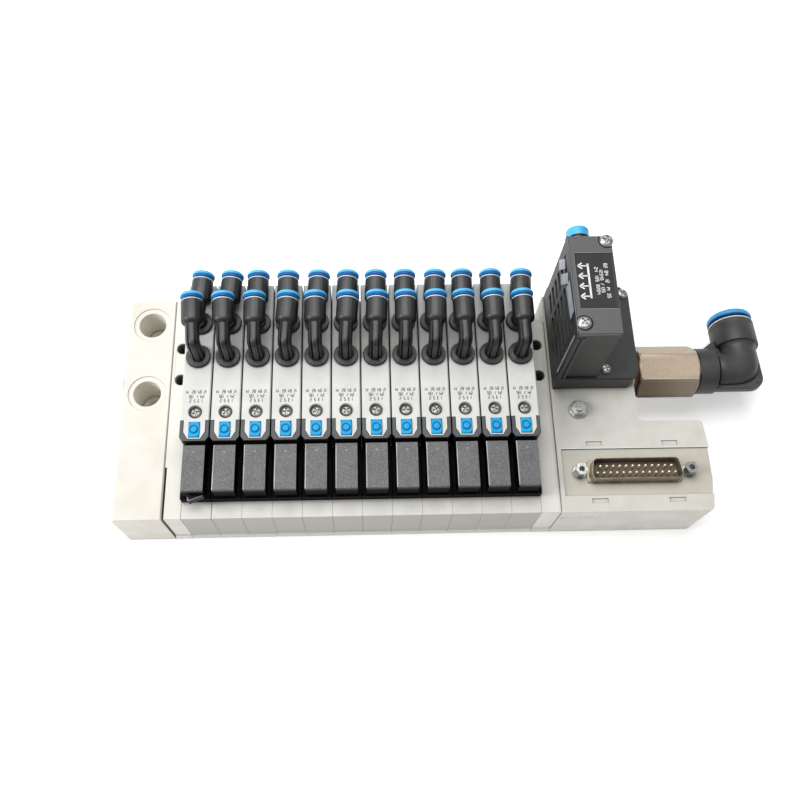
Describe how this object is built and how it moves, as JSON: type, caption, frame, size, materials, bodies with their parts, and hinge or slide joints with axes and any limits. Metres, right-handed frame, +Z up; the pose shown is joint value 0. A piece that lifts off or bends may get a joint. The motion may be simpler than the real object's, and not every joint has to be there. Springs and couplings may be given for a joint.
{
  "type": "pneumatic valve island",
  "caption": "Valve island: slim solenoid valves on sub-bases between an end plate and a plug-in interface module, with push-in elbows, a silencer tower and a swivelling supply elbow.",
  "frame": {"origin": "centre of the mounting face under the base, from end plate to interface module", "axes": "+X along the row of stations towards the interface module, +Y towards the tube outlets, +Z up out of the mounting face"},
  "size_m": [0.2925, 0.1107, 0.0867],
  "materials": {
    "ivory_polyamide": "moulded, satin",
    "translucent_plug": "moulded, milky",
    "warm_grey_polymer": "moulded, fine matt grain",
    "silver_polymer": "satin silver",
    "black_nylon": "moulded glass-filled nylon",
    "zinc_steel": "zinc plated",
    "tinned_steel": "tin plated, drawn",
    "brown_resin": "moulded",
    "gold_contacts": "gold flashed",
    "nickelled_brass": "nickel plated, machined",
    "blue_acetal": "moulded, glossy"
  },
  "bodies": {
    "island": {"end_plate": "ivory_polyamide", "end_plug": "translucent_plug", "feed_plates": "warm_grey_polymer", "sub_bases": "warm_grey_polymer", "valve_bodies": "silver_polymer", "pilot_interfaces": "black_nylon", "solenoid_coils": "black_nylon", "valve_screws": "zinc_steel", "front_elbows": "black_nylon", "rear_elbows": "black_nylon", "interface_module": "warm_grey_polymer", "connector_panel": "warm_grey_polymer", "connector_shell": "tinned_steel", "connector_insulator": "brown_resin", "connector_pins": "gold_contacts", "connector_jackscrews": "tinned_steel", "earth_screw": "zinc_steel", "silencer_housing": "black_nylon", "silencer_screws": "zinc_steel", "pilot_fitting": "black_nylon", "supply_adapter": "nickelled_brass"},
    "override_01": {"override_01": "blue_acetal"},
    "override_02": {"override_02": "blue_acetal"},
    "override_03": {"override_03": "blue_acetal"},
    "override_04": {"override_04": "blue_acetal"},
    "override_05": {"override_05": "blue_acetal"},
    "override_06": {"override_06": "blue_acetal"},
    "override_07": {"override_07": "blue_acetal"},
    "override_08": {"override_08": "blue_acetal"},
    "override_09": {"override_09": "blue_acetal"},
    "override_10": {"override_10": "blue_acetal"},
    "override_11": {"override_11": "blue_acetal"},
    "override_12": {"override_12": "blue_acetal"},
    "front_ring_01": {"front_ring_01": "blue_acetal"},
    "front_ring_02": {"front_ring_02": "blue_acetal"},
    "front_ring_03": {"front_ring_03": "blue_acetal"},
    "front_ring_04": {"front_ring_04": "blue_acetal"},
    "front_ring_05": {"front_ring_05": "blue_acetal"},
    "front_ring_06": {"front_ring_06": "blue_acetal"},
    "front_ring_07": {"front_ring_07": "blue_acetal"},
    "front_ring_08": {"front_ring_08": "blue_acetal"},
    "front_ring_09": {"front_ring_09": "blue_acetal"},
    "front_ring_10": {"front_ring_10": "blue_acetal"},
    "front_ring_11": {"front_ring_11": "blue_acetal"},
    "front_ring_12": {"front_ring_12": "blue_acetal"},
    "rear_ring_01": {"rear_ring_01": "blue_acetal"},
    "rear_ring_02": {"rear_ring_02": "blue_acetal"},
    "rear_ring_03": {"rear_ring_03": "blue_acetal"},
    "rear_ring_04": {"rear_ring_04": "blue_acetal"},
    "rear_ring_05": {"rear_ring_05": "blue_acetal"},
    "rear_ring_06": {"rear_ring_06": "blue_acetal"},
    "rear_ring_07": {"rear_ring_07": "blue_acetal"},
    "rear_ring_08": {"rear_ring_08": "blue_acetal"},
    "rear_ring_09": {"rear_ring_09": "blue_acetal"},
    "rear_ring_10": {"rear_ring_10": "blue_acetal"},
    "rear_ring_11": {"rear_ring_11": "blue_acetal"},
    "rear_ring_12": {"rear_ring_12": "blue_acetal"},
    "pilot_ring": {"pilot_ring": "blue_acetal"},
    "supply_elbow": {"supply_elbow": "black_nylon"},
    "supply_ring": {"supply_ring": "blue_acetal"}
  },
  "joints": [
    {"name": "supply_elbow_swivel", "type": "hinge", "parent": "island", "child": "supply_elbow", "pos_m": [0.12995, 0.01775, 0.0206], "axis": [1, 0, 0], "range_deg": [-20, 95]},
    {"name": "supply_ring_push", "type": "slide", "parent": "supply_elbow", "child": "supply_ring", "axis": [0, -0.9945, 0.1045], "range_m": [0, 0.0011], "stiffness_N_per_m": 300},
    {"name": "pilot_ring_push", "type": "slide", "parent": "island", "child": "pilot_ring", "axis": [0, -1, 0], "range_m": [0, 0.0007], "stiffness_N_per_m": 150},
    {"name": "override_01_press", "type": "slide", "parent": "island", "child": "override_01", "axis": [0, 0, -1], "range_m": [0, 0.001], "stiffness_N_per_m": 150},
    {"name": "override_02_press", "type": "slide", "parent": "island", "child": "override_02", "axis": [0, 0, -1], "range_m": [0, 0.001], "stiffness_N_per_m": 150},
    {"name": "override_03_press", "type": "slide", "parent": "island", "child": "override_03", "axis": [0, 0, -1], "range_m": [0, 0.001], "stiffness_N_per_m": 150},
    {"name": "override_04_press", "type": "slide", "parent": "island", "child": "override_04", "axis": [0, 0, -1], "range_m": [0, 0.001], "stiffness_N_per_m": 150},
    {"name": "override_05_press", "type": "slide", "parent": "island", "child": "override_05", "axis": [0, 0, -1], "range_m": [0, 0.001], "stiffness_N_per_m": 150},
    {"name": "override_06_press", "type": "slide", "parent": "island", "child": "override_06", "axis": [0, 0, -1], "range_m": [0, 0.001], "stiffness_N_per_m": 150},
    {"name": "override_07_press", "type": "slide", "parent": "island", "child": "override_07", "axis": [0, 0, -1], "range_m": [0, 0.001], "stiffness_N_per_m": 150},
    {"name": "override_08_press", "type": "slide", "parent": "island", "child": "override_08", "axis": [0, 0, -1], "range_m": [0, 0.001], "stiffness_N_per_m": 150},
    {"name": "override_09_press", "type": "slide", "parent": "island", "child": "override_09", "axis": [0, 0, -1], "range_m": [0, 0.001], "stiffness_N_per_m": 150},
    {"name": "override_10_press", "type": "slide", "parent": "island", "child": "override_10", "axis": [0, 0, -1], "range_m": [0, 0.001], "stiffness_N_per_m": 150},
    {"name": "override_11_press", "type": "slide", "parent": "island", "child": "override_11", "axis": [0, 0, -1], "range_m": [0, 0.001], "stiffness_N_per_m": 150},
    {"name": "override_12_press", "type": "slide", "parent": "island", "child": "override_12", "axis": [0, 0, -1], "range_m": [0, 0.001], "stiffness_N_per_m": 150},
    {"name": "front_ring_01_push", "type": "slide", "parent": "island", "child": "front_ring_01", "axis": [0.0715, -0.9974, 0], "range_m": [0, 0.0007], "stiffness_N_per_m": 150},
    {"name": "front_ring_02_push", "type": "slide", "parent": "island", "child": "front_ring_02", "axis": [0.0506, -0.9987, 0], "range_m": [0, 0.0007], "stiffness_N_per_m": 150},
    {"name": "front_ring_03_push", "type": "slide", "parent": "island", "child": "front_ring_03", "axis": [0.0192, -0.9998, 0], "range_m": [0, 0.0007], "stiffness_N_per_m": 150},
    {"name": "front_ring_04_push", "type": "slide", "parent": "island", "child": "front_ring_04", "axis": [-0.0593, -0.9982, 0], "range_m": [0, 0.0007], "stiffness_N_per_m": 150},
    {"name": "front_ring_05_push", "type": "slide", "parent": "island", "child": "front_ring_05", "axis": [0, -1, 0], "range_m": [0, 0.0007], "stiffness_N_per_m": 150},
    {"name": "front_ring_06_push", "type": "slide", "parent": "island", "child": "front_ring_06", "axis": [-0.0593, -0.9982, 0], "range_m": [0, 0.0007], "stiffness_N_per_m": 150},
    {"name": "front_ring_07_push", "type": "slide", "parent": "island", "child": "front_ring_07", "axis": [-0.0506, -0.9987, 0], "range_m": [0, 0.0007], "stiffness_N_per_m": 150},
    {"name": "front_ring_08_push", "type": "slide", "parent": "island", "child": "front_ring_08", "axis": [-0.0279, -0.9996, 0], "range_m": [0, 0.0007], "stiffness_N_per_m": 150},
    {"name": "front_ring_09_push", "type": "slide", "parent": "island", "child": "front_ring_09", "axis": [-0.0401, -0.9992, 0], "range_m": [0, 0.0007], "stiffness_N_per_m": 150},
    {"name": "front_ring_10_push", "type": "slide", "parent": "island", "child": "front_ring_10", "axis": [0, -1, 0], "range_m": [0, 0.0007], "stiffness_N_per_m": 150},
    {"name": "front_ring_11_push", "type": "slide", "parent": "island", "child": "front_ring_11", "axis": [0, -1, 0], "range_m": [0, 0.0007], "stiffness_N_per_m": 150},
    {"name": "front_ring_12_push", "type": "slide", "parent": "island", "child": "front_ring_12", "axis": [0, -1, 0], "range_m": [0, 0.0007], "stiffness_N_per_m": 150},
    {"name": "rear_ring_01_push", "type": "slide", "parent": "island", "child": "rear_ring_01", "axis": [-0.0698, -0.9976, 0], "range_m": [0, 0.0007], "stiffness_N_per_m": 150},
    {"name": "rear_ring_02_push", "type": "slide", "parent": "island", "child": "rear_ring_02", "axis": [-0.0698, -0.9976, 0], "range_m": [0, 0.0007], "stiffness_N_per_m": 150},
    {"name": "rear_ring_03_push", "type": "slide", "parent": "island", "child": "rear_ring_03", "axis": [0, -1, 0], "range_m": [0, 0.0007], "stiffness_N_per_m": 150},
    {"name": "rear_ring_04_push", "type": "slide", "parent": "island", "child": "rear_ring_04", "axis": [-0.0192, -0.9998, 0], "range_m": [0, 0.0007], "stiffness_N_per_m": 150},
    {"name": "rear_ring_05_push", "type": "slide", "parent": "island", "child": "rear_ring_05", "axis": [-0.0593, -0.9982, 0], "range_m": [0, 0.0007], "stiffness_N_per_m": 150},
    {"name": "rear_ring_06_push", "type": "slide", "parent": "island", "child": "rear_ring_06", "axis": [-0.0593, -0.9982, 0], "range_m": [0, 0.0007], "stiffness_N_per_m": 150},
    {"name": "rear_ring_07_push", "type": "slide", "parent": "island", "child": "rear_ring_07", "axis": [-0.0401, -0.9992, 0], "range_m": [0, 0.0007], "stiffness_N_per_m": 150},
    {"name": "rear_ring_08_push", "type": "slide", "parent": "island", "child": "rear_ring_08", "axis": [-0.0401, -0.9992, 0], "range_m": [0, 0.0007], "stiffness_N_per_m": 150},
    {"name": "rear_ring_09_push", "type": "slide", "parent": "island", "child": "rear_ring_09", "axis": [-0.0802, -0.9968, 0], "range_m": [0, 0.0007], "stiffness_N_per_m": 150},
    {"name": "rear_ring_10_push", "type": "slide", "parent": "island", "child": "rear_ring_10", "axis": [-0.0401, -0.9992, 0], "range_m": [0, 0.0007], "stiffness_N_per_m": 150},
    {"name": "rear_ring_11_push", "type": "slide", "parent": "island", "child": "rear_ring_11", "axis": [-0.0401, -0.9992, 0], "range_m": [0, 0.0007], "stiffness_N_per_m": 150},
    {"name": "rear_ring_12_push", "type": "slide", "parent": "island", "child": "rear_ring_12", "axis": [-0.0993, -0.9951, 0], "range_m": [0, 0.0007], "stiffness_N_per_m": 150}
  ]
}
